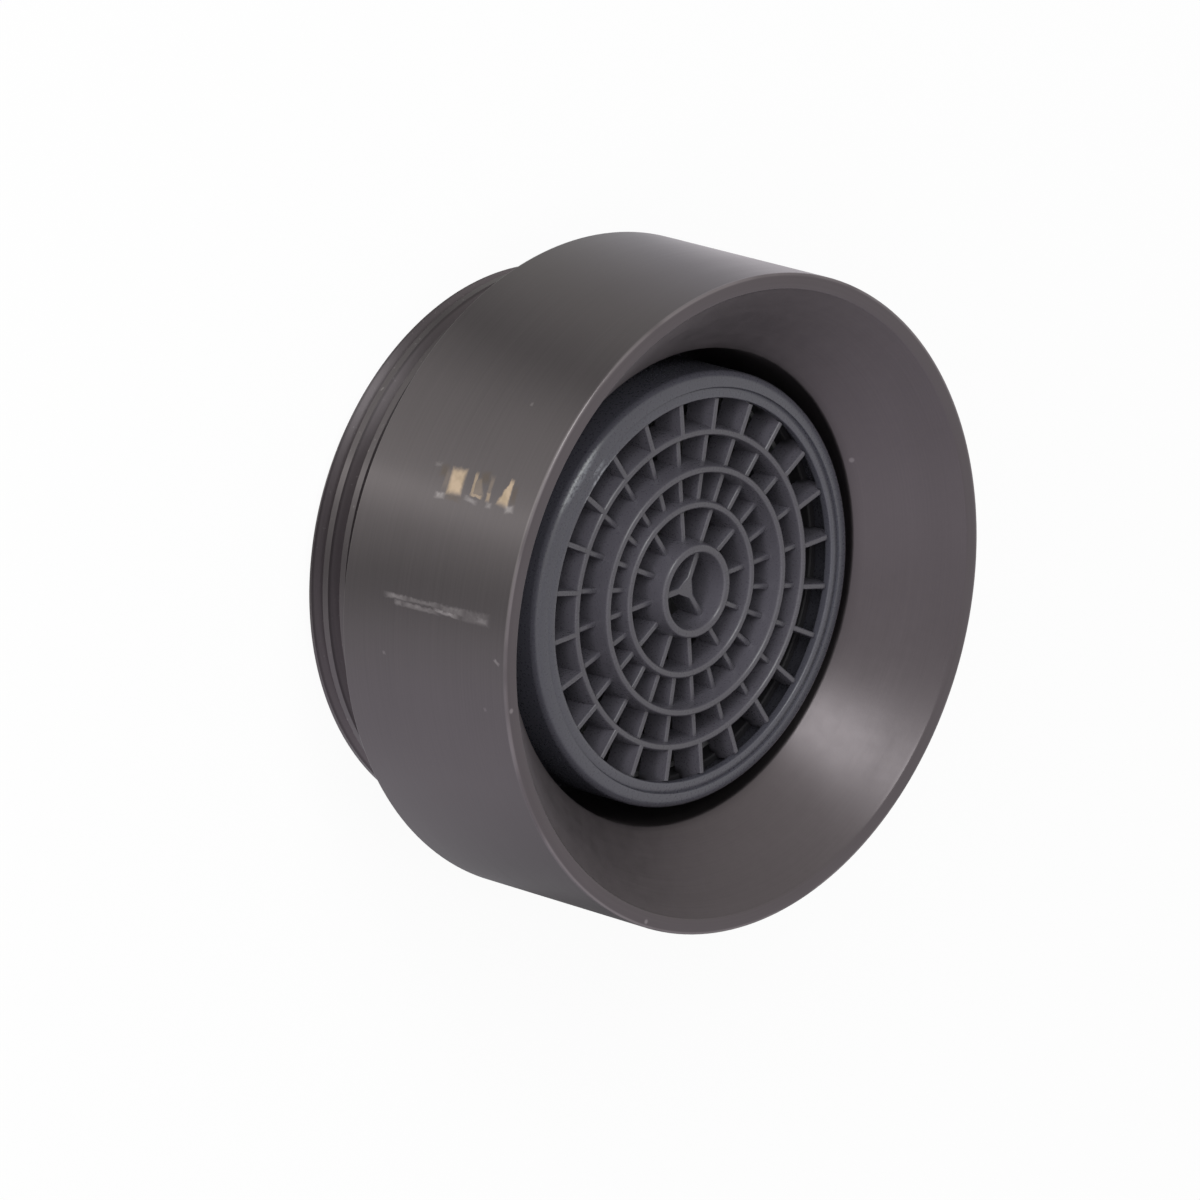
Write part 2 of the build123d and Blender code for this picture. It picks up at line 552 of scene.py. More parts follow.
@dataclass(frozen=True)
class TurnedMetal:
    """Brass under a gunmetal coating, turned to a fine grain, worn through in places, with painted light in
    the thread roots and flared mouth.
    """

    coating: Colour = (0.107, 0.095, 0.102)
    brass: Colour = (0.475, 0.363, 0.276)
    dark_brass: Colour = (0.38, 0.292, 0.215)
    bare: Colour = (0.42, 0.385, 0.40)
    shadow: Colour = (0.105, 0.082, 0.066)
    roughness: float = 0.36
    anisotropy: float = 0.7
    body_radius: float = 14.0
    rim: float = 14.3
    cone_radius: float = 13.3
    root_radius: float = 11.2
    crest_radius: float = 11.88
    thread_depth: float = 9.7
    # Painted light: how much lighter the thread roots are drawn
    root_painted_light: float = 0.5
    cone_depth: float = 3.75
    # Painted light: how much lighter the coating is drawn inside the flared mouth
    cone_painted_light: float = 0.15
    line_scale: float = 9.0
    line_run: float = 0.12
    fine_scale: float = 26.0
    fine_run: float = 0.2
    base_tone: float = 0.82
    grain_tone: float = 0.26
    cloud_tone: float = 0.10
    patch_tone: float = 0.16
    grain_rough: float = 0.12
    worn_rough: float = 0.12
    inner_rough: float = 0.05
    rim_rough: float = 0.045
    patch_rough: float = 0.10
    cloud_scale: float = 0.25
    spot_scale: float = 5.0
    patch_scale: float = 1.6
    raggedness: float = 0.30
    bump: float = 0.10
    bump_depth: float = 0.02
    marks_angle: float = -93.5
    brass_marks: tuple[Stroke, ...] = (
        Stroke((-0.55, 4.65), (0.43, 4.575), 0.74),
        Stroke((-0.65, 1.65), (0.35, 1.77), 0.39, taper=0.5),
        Stroke((-0.60, 3.66), (0.30, 3.58), 0.15, 0.60),
        Stroke((0.29, 3.62), (0.32, 3.00), 0.14, 0.55),
        Stroke((-0.40, 3.42), (0.28, 3.27), 0.42, 0.24, taper=0.5),
        Stroke((-0.58, 2.74), (0.05, 2.68), 0.19, 0.20, 1.2),
        Stroke((0.06, 2.66), (0.40, 2.62), 0.19, 0.55, 1.0),
        Stroke((-0.40, 5.20), (0.30, 5.16), 0.22, 0.12, 1.6),
    )
    dark_marks: tuple[Stroke, ...] = (
        Stroke((-0.56, 5.50), (-0.16, 5.46), 0.34, 0.50, 1.6),
        Stroke((-0.72, 3.20), (-0.30, 3.10), 0.44, 0.60, 1.6),
        Stroke((0.62, 4.85), (0.65, 4.15), 0.22, 0.40, 1.6),
        Stroke((-0.42, 1.36), (0.20, 1.25), 0.24, 0.55, 1.6),
    )
    pale_marks: tuple[Stroke, ...] = (
        Stroke((0.69, 5.46), (0.66, 5.06), 0.20, 0.30, 1.6),
        Stroke((0.50, 3.80), (0.58, 3.26), 0.15, 0.26, 1.6),
        Stroke((0.55, 2.60), (0.57, 2.36), 0.18, 0.24, 1.6),
        Stroke((0.53, 1.48), (0.45, 1.14), 0.24, 0.36, 1.6),
        Stroke((-0.55, 6.06), (-0.57, 5.76), 0.14, 0.14, 1.6),
        Stroke((5.17, 2.55), (5.13, 1.16), 0.46, 0.15),
        Stroke((5.19, 1.80), (5.21, 1.18), 0.26, 0.30, 1.2),
        Stroke((5.15, 3.85), (5.09, 2.55), 0.28, 0.27, 1.2),
        Stroke((5.29, 4.14), (5.32, 2.98), 0.15, 0.50, 1.2),
        Stroke((5.16, 5.80), (5.09, 4.10), 0.17, 0.27, 1.2),
        Stroke((5.41, 6.00), (5.38, 4.20), 0.17, 0.29, 1.2),
        Stroke((5.20, 6.98), (5.16, 5.92), 0.18, 0.40, 1.2),
        Stroke((5.42, 6.50), (5.42, 6.14), 0.18, 0.28, 1.2),
        Stroke((6.66, 0.62), (6.80, 0.38), 0.12, 0.30, 1.2),
        Stroke((-4.12, 2.70), (-4.00, 2.70), 0.12, 0.20, 1.2),
        Stroke((7.64, 7.12), (7.76, 7.08), 0.12, 0.18, 1.2),
        Stroke((8.86, 1.32), (8.98, 1.28), 0.12, 0.18, 1.2),
    )
    nicks: tuple[PaleSpot, ...] = (
        PaleSpot(136.0, 10.42, 10.97, 0.22, 0.22, 0.35, 0.909),
        PaleSpot(0.4, 13.75, 14.3, 0.18, 0.18, 0.35, 1.111),
        PaleSpot(-57.5, 13.75, 14.3, 0.20, 0.20, 0.35, 1.0),
    )

    def material(self) -> Material:
        """Builds the material.

        Returns:
            The finished material.
        """
        shader = Shader(bpy.data.materials.new("turned_gunmetal"))
        x, y, z = shader.place()
        spot = shader.vector(x, y, z)
        radius = shader.from_axis(x, y)
        depth = self.rim - z
        across = z + radius
        turned = shader.vector(across * self.line_scale, x * self.line_run, y * self.line_run)
        lines = shader.noise(turned, 1.0, 3.0)
        turned = shader.vector(across * self.fine_scale, x * self.fine_run, y * self.fine_run)
        grain = lines * 0.6 + shader.noise(turned, 1.0, 1.0) * 0.4
        cloud = shader.noise(spot, self.cloud_scale)
        rough_spots = shader.noise(spot, self.spot_scale, 3.0)
        patches = shader.noise(spot, self.patch_scale)
        uneven = patches - 0.5
        outside = radius.above(self.body_radius - 0.3, 0.1)
        narrow = 1.0 - radius.above(self.cone_radius, 0.12)
        flared = narrow * (1.0 - depth.above(self.cone_depth, 0.1))
        flared_rim = narrow * (1.0 - depth.above(1.3, 1.2))
        threaded = narrow * depth.above(self.thread_depth, 0.1)
        roots = radius.between(self.root_radius, self.crest_radius, 0.08) * threaded
        row = (shader.math("ARCTAN2", y, x) - math.radians(self.marks_angle)) * self.body_radius
        ragged = (rough_spots - 0.5) * self.raggedness
        place = shader.vector(row + ragged * 0.6, depth - ragged * 0.5, 0.0)
        brass = joined(self.brass_marks, shader, place) * outside
        dark = joined(self.dark_marks, shader, place) * outside
        pale = joined(self.pale_marks, shader, place) * (rough_spots * 2.0 + 0.15) * outside
        pale = pale | joined(self.nicks, shader, spot) | self._edge(radius - depth, lines, cloud)
        pale = pale | threaded * rough_spots.above(0.70, 0.10) * 0.25
        tone = self.base_tone + grain * self.grain_tone + cloud * self.cloud_tone
        tone = tone + flared * uneven * self.patch_tone
        # Painted light: the thread roots and the flared mouth are drawn lighter than the rest of the coating
        tone = tone * (1.0 + roots * self.root_painted_light + flared * self.cone_painted_light)
        metal = shader.mix(patches.above(0.48, 0.30), self.dark_brass, self.brass)
        worn = shader.mix(dark, shader.scale(self.coating, tone), self.shadow)
        worn = shader.mix(brass, worn, metal)
        worn = shader.mix(pale, worn, self.bare)
        relief = grain + brass * (rough_spots - 0.9) * 2.0
        rough = self.roughness + (grain - 0.5) * self.grain_rough + (brass | pale) * self.worn_rough
        rough = rough + narrow * self.inner_rough + flared_rim * self.rim_rough
        rough = rough + flared * uneven * self.patch_rough
        return shader.surface(
            Base_Color=worn,
            Metallic=1.0,
            Roughness=rough,
            Anisotropic=self.anisotropy,
            Anisotropic_Rotation=0.25,
            Normal=shader.bump(relief, self.bump, self.bump_depth),
        )

    def _edge(self, reach: Value, lines: Value, cloud: Value) -> Value:
        """Makes the mask of the rim's outer edge, which is rubbed pale here and there."""
        near = reach.above(self.body_radius - 0.11, 0.08)
        return near * (0.08 + cloud.above(0.48, 0.2) * 0.22) * (0.6 + lines * 0.6)


@dataclass(frozen=True)
class MouldedPlastic:
    """Satin moulded plastic of one colour: scuffed, with painted shade where it is deep and painted light on
    walls.
    """

    name: str
    colour: Colour
    roughness: float = 0.28
    shine: float = 0.55
    scuffed_and_highlit: Colour = (0.32, 0.33, 0.36)
    # Pale spots: scuffs, and on the sleeve a painted highlight along its front edge
    scuffs_and_highlight: tuple[PaleSpot, ...] = ()
    # Painted shade: how much the colour darkens outside a radius and below a height, by the outer wall
    painted_corner_shade: float = 0.0
    corner_shade_radius: float = 8.2
    corner_shade_height: float = 10.1
    # Painted shade: how much the colour darkens inside a radius, below a height
    painted_depth_shade: float = 0.0
    depth_shade_height: float = 10.9
    depth_shade_radius: float = 8.95
    # Painted light: how much lighter faces that stand sideways are drawn above a height
    painted_wall_light: float = 0.0
    wall_light_height: float = 10.62
    base_tone: float = 0.94
    cloud_tone: float = 0.12
    grain_rough: float = 0.06
    corner_shade_rough: float = 0.55
    cloud_scale: float = 0.8
    grain_scale: float = 9.0
    bump: float = 0.015
    bump_depth: float = 0.02

    def material(self) -> Material:
        """Builds the material.

        Returns:
            The finished material.
        """
        shader = Shader(bpy.data.materials.new(self.name))
        x, y, z = shader.place()
        spot = shader.vector(x, y, z)
        cloud = shader.noise(spot, self.cloud_scale, 3.0)
        grain = shader.noise(spot, self.grain_scale)
        radius = shader.from_axis(x, y)
        # Painted shade: the colour darkens outside a radius and below a height, by the outer wall under the
        # lip
        low = 1.0 - z.above(self.corner_shade_height, 0.5)
        corner = radius.above(self.corner_shade_radius, 0.3) * low * self.painted_corner_shade
        # Painted shade: the colour darkens inside a radius, more the lower it lies
        inside = 1.0 - radius.above(self.depth_shade_radius, 0.1)
        depth_shade = inside * (1.0 - z.above(self.depth_shade_height, 0.9)) * self.painted_depth_shade
        # Painted light: faces that stand sideways, above a height, are drawn lighter
        facing = shader.split(shader.node("ShaderNodeNewGeometry", output="Normal"))
        wall_light = (1.0 - facing[2].size()) * z.above(self.wall_light_height, 0.45) * self.painted_wall_light
        tone = (self.base_tone + cloud * self.cloud_tone) * (1.0 - corner) * (1.0 - depth_shade) * (1.0 + wall_light)
        colour = shader.scale(self.colour, tone)
        # Pale spots: scuffs, and a painted highlight on the sleeve's front edge
        for pale_spot in self.scuffs_and_highlight:
            colour = shader.mix(pale_spot.mask(shader, spot) * grain.above(0.46, 0.3), colour, self.scuffed_and_highlit)
        rough = self.roughness + (grain - 0.5) * self.grain_rough + corner * self.corner_shade_rough
        return shader.surface(
            Base_Color=colour,
            Roughness=rough,
            Specular_IOR_Level=self.shine,
            Normal=shader.bump(grain, self.bump, self.bump_depth),
        )


# The sleeve's pale spots: scuffs on the lip, then a painted highlight along the rounded front edge
SLEEVE_SCUFFS_AND_HIGHLIGHT = (
    PaleSpot(242.0, 8.22, 11.33, 0.80, 0.14, 0.45),
    PaleSpot(248.5, 8.24, 11.34, 1.10, 0.22, 0.75),
    PaleSpot(255.5, 8.20, 11.32, 0.70, 0.18, 0.80),
    PaleSpot(247.0, 8.52, 11.28, 0.90, 0.20, 0.30),
    # Painted highlight along the rounded front edge
    PaleSpot(253.0, 9.11, 11.28, 3.60, 0.32, 0.35),
)


@dataclass(frozen=True)
class Rubber:
    """Matt black rubber."""

    colour: Colour = (0.020, 0.020, 0.021)
    roughness: float = 0.68
    grain_rough: float = 0.14
    grain_scale: float = 4.0
    bump: float = 0.15
    bump_depth: float = 0.03

    def material(self) -> Material:
        """Builds the material.

        Returns:
            The finished material.
        """
        shader = Shader(bpy.data.materials.new("black_rubber"))
        x, y, z = shader.place()
        grain = shader.noise(shader.vector(x, y, z), self.grain_scale, 3.0)
        return shader.surface(
            Base_Color=self.colour,
            Roughness=self.roughness + grain * self.grain_rough,
            Normal=shader.bump(grain, self.bump, self.bump_depth),
        )


@dataclass
class Housing:
    """The turned housing: male thread, relief groove, plain body and flared mouth."""

    span: Span
    finish: Material
    steps: int = 192
    thread_radius: float = 11.97
    thread_end: float = 3.95
    thread_pitch: float = 1.0
    thread_phase: float = -0.71
    thread_depth: float = 0.45
    root_width: float = 0.17
    groove_width: float = 0.68
    tool_clearance: float = 0.05
    lead_in: float = 0.35
    relief_radius: float = 11.35
    shoulder: float = 4.75
    seat_radius: float = 10.85
    seat: float = 3.6
    throat_radius: float = 10.15
    throat: float = 10.67
    rim_width: float = 0.65
    edge_round: float = 0.08
    inner_rim_round: float = 0.05
    shoulder_round: float = 0.10
    relief_round: float = 0.12

    def build(self) -> None:
        """Models the housing."""
        outside = self.span.radius
        low = self.span.low
        high = self.span.high
        rim_inner = outside - self.rim_width
        section = [
            (self.seat_radius, low),
            (self.thread_radius - self.lead_in, low),
            (self.thread_radius, low + self.lead_in),
            (self.thread_radius, self.thread_end),
            (self.relief_radius, self.thread_end),
            (self.relief_radius, self.shoulder),
            (outside, self.shoulder),
            (outside, high),
            (rim_inner, high),
            (self.throat_radius, self.throat),
            (self.throat_radius, self.seat),
            (self.seat_radius, self.seat),
        ]
        piece = Work.turn("housing_turned", section, self.steps)
        piece.round_circle(outside, high, self.edge_round)
        piece.round_circle(rim_inner, high, self.inner_rim_round, 2)
        piece.round_circle(outside, self.shoulder, self.shoulder_round)
        piece.round_circle(self.throat_radius, self.throat, self.edge_round)
        piece.round_circle(self.relief_radius, self.shoulder, self.relief_round)
        piece.round_circle(self.seat_radius, low, self.edge_round)
        piece.combine(self._thread_tool(), Cut.TAKE_AWAY)
        piece.finish("housing", "gunmetal", self.finish)

    def _thread_tool(self) -> Work:
        """Models the tool that cuts the thread: a notched section swept along a right-hand helix.

        Returns:
            The tool.
        """
        root = self.thread_radius - self.thread_depth
        crest = self.thread_radius + self.tool_clearance
        flare = (self.groove_width - self.root_width) / 2 / self.thread_depth
        outer = self.groove_width / 2 + self.tool_clearance * flare
        start = self.thread_phase
        section = [
            (root, start - self.root_width / 2),
            (crest, start - outer),
            (crest, start + outer),
            (root, start + self.root_width / 2),
        ]
        tool = Work.draw("thread_tool", section)
        tool.modify(
            "SCREW",
            axis="Z",
            angle=math.tau,
            screw_offset=self.thread_pitch,
            iterations=math.floor((self.shoulder - outer - start) / self.thread_pitch),
            steps=self.steps // 2,
            render_steps=self.steps // 2,
        )
        tool.edit()
        tool.weld()
        bpy.ops.mesh.select_all(action="DESELECT")
        bpy.ops.mesh.select_non_manifold()
        bpy.ops.mesh.edge_face_add()
        bpy.ops.mesh.select_all(action="SELECT")
        bpy.ops.mesh.normals_make_consistent(inside=False)
        return tool


@dataclass
class InsertSleeve:
    """The moulded sleeve of the insert: flange, air windows and a rounded front with an inward lip."""

    span: Span
    finish: Material
    steps: int = 160
    seat: float = 3.6
    sleeve_radius: float = 9.30
    front_round: float = 0.35
    front_fall: float = 0.09
    lip_round: float = 0.09
    flange_round: float = 0.15
    crest_radius: float = 8.74
    bore: float = 8.75
    lip_radius: float = 8.17
    lip_thickness: float = 0.36
    line_radius: float = 8.52
    line_width: float = 0.13
    line_depth: float = 0.10
    jet_seat: float = 3.4
    jet_seat_radius: float = 9.1
    window_count: int = 3
    window_width: float = 8.0
    window_height: float = 1.8
    window_rise: float = 0.4

    @property
    def lip_under(self) -> float:
        """The level of the lip's underside."""
        return self.span.high - self.lip_thickness

    def build(self) -> None:
        """Models the sleeve."""
        outside = self.span.radius
        low = self.span.low
        front = self.span.high
        edge = front - self.front_fall
        line_outer = self.line_radius + self.line_width
        section = [
            (self.jet_seat_radius, low),
            (outside, low),
            (outside, self.seat),
            (self.sleeve_radius, self.seat),
            (self.sleeve_radius, edge),
            (self.crest_radius, front),
            (line_outer, front),
            (line_outer - self.line_width / 4, front - self.line_depth),
            (self.line_radius - self.line_width / 2, front),
            (self.lip_radius, front),
            (self.lip_radius, self.lip_under),
            (self.bore, self.lip_under),
            (self.bore, self.jet_seat),
            (self.jet_seat_radius, self.jet_seat),
        ]
        piece = Work.turn("insert_sleeve_moulded", section, self.steps)
        piece.round_circle(self.sleeve_radius, edge, self.front_round, 6)
        piece.round_circle(self.lip_radius, front, self.lip_round)
        piece.round_circle(outside, low, self.flange_round)
        piece.round_circle(outside, self.seat, self.flange_round)
        piece.combine(self._windows(), Cut.TAKE_AWAY)
        piece.finish("insert_sleeve", "grey_plastic", self.finish)

    def _windows(self) -> Work:
        """Models the blocks that cut the air windows.

        Returns:
            The tool.
        """
        base = self.seat + self.window_rise
        reach = (self.bore / 2, self.span.radius)
        tool = Work.block("window_tool", reach, self.window_width, (base, base + self.window_height))
        tool.copy_round(self.window_count)
        return tool


@dataclass
class OutletGrid:
    """The moulded outlet grid: rounded rings, lower ribs, a three-rib hub and a low rim."""

    span: Span
    front: float
    lip_under: float
    lip_radius: float
    finish: Material
    steps: int = 144
    rim_height: float = 0.8
    rim_wall: float = 0.3
    rim_chamfer: float = 0.06
    web_depth: float = 1.7
    rib_width: float = 0.24
    rib_end_width: float = 0.22
    rib_drop: float = 0.48
    hub_rib_width: float = 0.3
    hub_core_radius: float = 0.7
    hub_rib_start: float = 60.0
    hub_rib_inner: float = 0.21
    hub_rib_count: int = 3
    inner_rib_count: int = 12
    outer_rib_count: int = 24
    low_ring_drop: float = 0.17
    hub_radius: float = 1.82
    hub_width: float = 0.42
    inner_radius: float = 3.62
    middle_radius: float = 5.18
    outer_radius: float = 6.71
    ring_width: float = 0.35
    ring_section: tuple[Corner, ...] = (
        (0.0, 0.12), (0.012, 0.24), (0.045, 0.35), (0.09, 0.42), (0.16, 0.47), (0.35, 0.55), (0.80, 0.67),
    )
    ring_foot: float = 0.80
    rib_round: float = 0.30
    clearance: float = 0.05
    bury: float = 0.06

    def build(self) -> None:
        """Models the grid."""
        tall = self.span.high
        rings = (
            (self.hub_radius, self.hub_width, tall),
            (self.inner_radius, self.ring_width, self.low_top),
            (self.middle_radius, self.ring_width, tall),
            (self.outer_radius, self.ring_width, self.low_top),
        )
        grid = self._rim()
        grid.gather([self._ring(*ring) for ring in rings])
        grid.piece.name = "outlet_grid_moulded"
        for tool in (self._ribs, self._rib_ends, self._hub):
            grid.combine(tool(), Cut.JOIN)
        grid.finish("outlet_grid", "grey_plastic", self.finish)

    @property
    def web(self) -> float:
        """The level of the web's underside."""
        return self.front - self.web_depth

    @property
    def low_top(self) -> float:
        """The top of the low rings and of the outer ribs."""
        return self.front - self.low_ring_drop

    @property
    def rib_top(self) -> float:
        """The top of the inner ribs."""
        return self.front - self.rib_drop

    def _rim(self) -> Work:
        """Models the low rim that stands on the mixing grid.

        Returns:
            The rim.
        """
        bore = self.span.radius - self.rim_wall
        top = self.span.low + self.rim_height
        corners = [
            (bore, self.span.low),
            (self.span.radius, self.span.low),
            (self.span.radius, top),
            (bore + self.rim_chamfer, top),
            (bore, top - self.rim_chamfer),
        ]
        return Work.turn("grid_rim", corners, self.steps)

    def _ring(self, radius: float, width: float, top: float) -> Work:
        """Models one ring, rounded at the top and wider at the foot.

        Args:
            radius: its middle radius.
            width: its width near the top.
            top: its top.

        Returns:
            The ring.
        """
        section = self.ring_section + ((top - self.web, self.ring_foot),)
        inner = [(radius - share * width, top - depth) for depth, share in section]
        outer = [(radius + share * width, top - depth) for depth, share in section]
        return Work.turn("grid_ring", inner[::-1] + outer, self.steps)

    def _bar(self, name: str, start: float, end: float, width: float, top: float) -> Work:
        """Models one rib along +X with rounded top edges.

        Args:
            name: its name.
            start: the radius where it starts.
            end: the radius where it ends.
            width: its width.
            top: its top.

        Returns:
            The rib, left in edit mode with everything selected.
        """
        piece = Work.block(name, (start, end), width, (self.web, top))

        # Its two long edges at the top
        piece.round_edges(
            lambda one, two: min(one.z, two.z) > top - NEAR and abs(one.x - two.x) > NEAR,
            width * self.rib_round,
        )
        bpy.ops.mesh.select_all(action="SELECT")
        return piece

    def _ribs(self) -> Work:
        """Models the ribs between the rings.

        Returns:
            All of them as one mesh of separate shells.
        """
        bands = (
            (self.hub_radius, self.inner_radius - self.bury, self.rib_top, self.inner_rib_count),
            (self.inner_radius, self.middle_radius - self.bury, self.rib_top, self.outer_rib_count),
            (self.middle_radius, self.outer_radius - self.bury, self.rib_top, self.outer_rib_count),
            (self.outer_radius, self.lip_radius - self.clearance, self.low_top, self.outer_rib_count),
        )
        made = []
        for start, end, top, count in bands:
            made.append(self._bar("grid_rib", start + self.bury, end, self.rib_width, top))
            made[-1].copy_round(count)
        made[0].gather(made[1:])
        return made[0]

    def _rib_ends(self) -> Work:
        """Models the ends of the outer ribs, which lie under the sleeve's lip and stand on the rim.

        Returns:
            All of them as one mesh of separate shells.
        """
        start = self.lip_radius - self.ring_width
        end = self.span.radius - self.rim_wall / 2
        piece = self._bar("rib_end", start, end, self.rib_end_width, self.lip_under)
        piece.copy_round(self.outer_rib_count)
        return piece

    def _hub(self) -> Work:
        """Models the three ribs inside the hub ring, which meet in a small three-cornered core.

        Returns:
            The hub.
        """
        section = [
            (0.0, self.web),
            (self.hub_core_radius, self.web),
            (self.hub_core_radius, self.rib_top),
            (0.0, self.rib_top),
        ]
        core = Work.turn("hub_core", section, self.hub_rib_count)
        core.copy_round(1, self.hub_rib_start)

        # The three outer edges of the top
        core.round_edges(
            lambda *ends: all(end.z > self.rib_top - NEAR and end.xy.length > NEAR for end in ends),
            self.bury,
        )
        end = self.hub_radius - self.bury
        bars = self._bar("hub_rib", self.hub_rib_inner, end, self.hub_rib_width, self.rib_top)
        bars.copy_round(self.hub_rib_count, self.hub_rib_start)
        core.combine(bars, Cut.JOIN)
        return core


@dataclass
class InletEnd:
    """What shows at the threaded end: the sealing washer and the strainer inside it."""

    washer: Span
    strainer: Span
    rubber: Material
    plastic: Material
    steps: int = 128
    washer_bore: float = 8.3
    hat_base_radius: float = 7.9
    hat_top_radius: float = 6.7
    hat_wall: float = 0.45
    slot_width: float = 0.7
    outer_slots: tuple[float, float] = (3.5, 6.1)
    outer_slot_count: int = 12
    inner_slots: tuple[float, float] = (1.4, 2.8)
    inner_slot_count: int = 6
    washer_round: float = 0.16
    hat_round: float = 0.25

    def build_washer(self) -> None:
        """Models the washer with softened edges."""
        span = self.washer
        corners = [
            (self.washer_bore, span.low),
            (span.radius, span.low),
            (span.radius, span.high),
            (self.washer_bore, span.high),
        ]
        piece = Work.turn("seal_washer_rubber", corners, self.steps)
        for radius, height in corners:
            piece.round_circle(radius, height, self.washer_round)
        piece.finish("seal_washer", "rubber", self.rubber)

    def build_strainer(self) -> None:
        """Models the strainer's rim and slotted hat."""
        span = self.strainer
        top = span.low
        rim = self.washer.high
        section = [
            (0.0, top),
            (self.hat_top_radius, top),
            (self.hat_base_radius, rim),
            (span.radius, rim),
            (span.radius, span.high),
            (self.hat_base_radius - self.hat_wall, span.high),
            (self.hat_top_radius - self.hat_wall, top + self.hat_wall),
            (0.0, top + self.hat_wall),
        ]
        piece = Work.turn("strainer_moulded", section, self.steps)
        piece.round_circle(self.hat_top_radius, top, self.hat_round, 4)
        levels = (top - self.hat_wall, top + 2 * self.hat_wall)
        slots = ((self.outer_slots, self.outer_slot_count), (self.inner_slots, self.inner_slot_count))
        for reach, count in slots:
            tool = Work.block("slot_tool", reach, self.slot_width, levels)
            tool.copy_round(count)
            piece.combine(tool, Cut.TAKE_AWAY)
        piece.finish("strainer", "inner_plastic", self.plastic)


@dataclass(frozen=True)
class Lamp:
    """One soft lamp: where it stands, its size, its brightness, its tint and whether it is mirrored."""

    name: str
    azimuth: float
    elevation: float
    distance: float
    width: float
    height: float
    brightness: float
    tint: Colour = WHITE
    mirrored: bool = True

    def hang(self, aim: Vector) -> None:
        """Puts the lamp up, facing the part.

        Args:
            aim: the point that it faces, in metres.
        """
        rise = math.radians(self.elevation)
        way = around(self.azimuth, math.cos(rise), math.sin(rise))
        light = bpy.data.lights.new(self.name, "AREA")
        light.shape = "RECTANGLE"
        light.size = self.width
        light.size_y = self.height
        light.energy = self.brightness * math.pi * self.width * self.height
        light.color = self.tint
        lamp = bpy.data.objects.new(self.name, light)
        bpy.context.scene.collection.objects.link(lamp)
        lamp.visible_glossy = self.mirrored
        lamp.location = aim + way * self.distance
        lamp.rotation_euler = way.to_track_quat("Z", "Y").to_euler()


